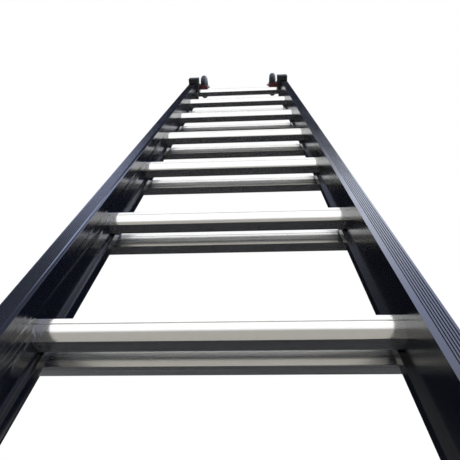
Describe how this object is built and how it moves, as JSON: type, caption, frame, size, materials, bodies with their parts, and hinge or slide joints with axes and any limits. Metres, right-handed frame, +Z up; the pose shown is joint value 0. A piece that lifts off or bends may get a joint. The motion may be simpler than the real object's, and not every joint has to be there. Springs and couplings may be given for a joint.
{
  "type": "extension ladder",
  "caption": "Two-section aluminium extension ladder: dark box stiles, bright level rungs, wall wheels in red forks at the top, and pivoting rung locks.",
  "frame": {"origin": "on the floor, in the middle of the box round the closed ladder", "axes": "+Z up the stiles, +X across the rungs, +Y from the climbing side to the wall side"},
  "size_m": [0.4908, 0.145, 2.292],
  "materials": {
    "rung_aluminium": "satin extruded",
    "dark_anodised": "dark blue-black anodised",
    "tyre_rubber": "matte",
    "wheel_hub": "moulded",
    "red_bracket": "dark red enamel",
    "foot_rubber": "matte",
    "black_plastic": "moulded",
    "nylon": "natural",
    "cast_metal": "die cast",
    "zinc_steel": "zinc plated"
  },
  "bodies": {
    "base": {"base_rung_1": "rung_aluminium", "base_rung_2": "rung_aluminium", "base_rung_3": "rung_aluminium", "base_rung_4": "rung_aluminium", "base_rung_5": "rung_aluminium", "base_rung_6": "rung_aluminium", "base_rung_7": "rung_aluminium", "base_rung_8": "rung_aluminium", "base_stile_left": "dark_anodised", "base_stile_right": "dark_anodised", "base_foot_left": "foot_rubber", "base_foot_right": "foot_rubber", "base_top_cap_left": "black_plastic", "base_top_cap_right": "black_plastic", "base_foot_rivets": "zinc_steel", "base_cap_rivets": "zinc_steel"},
    "fly": {"fly_rung_1": "rung_aluminium", "fly_rung_2": "rung_aluminium", "fly_rung_3": "rung_aluminium", "fly_rung_4": "rung_aluminium", "fly_rung_5": "rung_aluminium", "fly_rung_6": "rung_aluminium", "fly_rung_7": "rung_aluminium", "fly_rung_8": "rung_aluminium", "fly_stile_left": "dark_anodised", "fly_stile_right": "dark_anodised", "fly_end_plug_left": "black_plastic", "fly_end_plug_right": "black_plastic", "fly_glide_left": "nylon", "fly_glide_right": "nylon", "top_cap_left": "black_plastic", "top_cap_right": "black_plastic", "wheel_fork_left": "red_bracket", "wheel_fork_right": "red_bracket", "wheel_axle_left": "zinc_steel", "wheel_axle_right": "zinc_steel", "lock_bracket_left": "cast_metal", "lock_bracket_right": "cast_metal", "lock_pin_left": "zinc_steel", "lock_pin_right": "zinc_steel", "top_cap_screws": "zinc_steel", "fork_screws": "zinc_steel", "lock_bolts": "zinc_steel", "fly_plug_rivets": "zinc_steel", "glide_rivets": "zinc_steel"},
    "wheel_left": {"wheel_tyre_left": "tyre_rubber", "wheel_hub_left": "wheel_hub"},
    "wheel_right": {"wheel_tyre_right": "tyre_rubber", "wheel_hub_right": "wheel_hub"},
    "pawl_left": {"lock_pawl_left": "cast_metal"},
    "pawl_right": {"lock_pawl_right": "cast_metal"}
  },
  "joints": [
    {"name": "fly_slide", "type": "slide", "parent": "base", "child": "fly", "axis": [0, 0, 1], "range_m": [0, 1.4]},
    {"name": "wheel_left_spin", "type": "hinge", "parent": "fly", "child": "wheel_left", "pos_m": [-0.162, -0.0205, 2.24], "axis": [1, 0, 0], "continuous": true},
    {"name": "wheel_right_spin", "type": "hinge", "parent": "fly", "child": "wheel_right", "pos_m": [0.162, -0.0205, 2.24], "axis": [1, 0, 0], "continuous": true},
    {"name": "pawl_left_pivot", "type": "hinge", "parent": "fly", "child": "pawl_left", "pos_m": [-0.1728, 0.0165, 0.23161], "axis": [-1, 0, 0], "range_deg": [0, 83]},
    {"name": "pawl_right_pivot", "type": "hinge", "parent": "fly", "child": "pawl_right", "pos_m": [0.1728, 0.0165, 0.23161], "axis": [-1, 0, 0], "range_deg": [0, 83]}
  ]
}
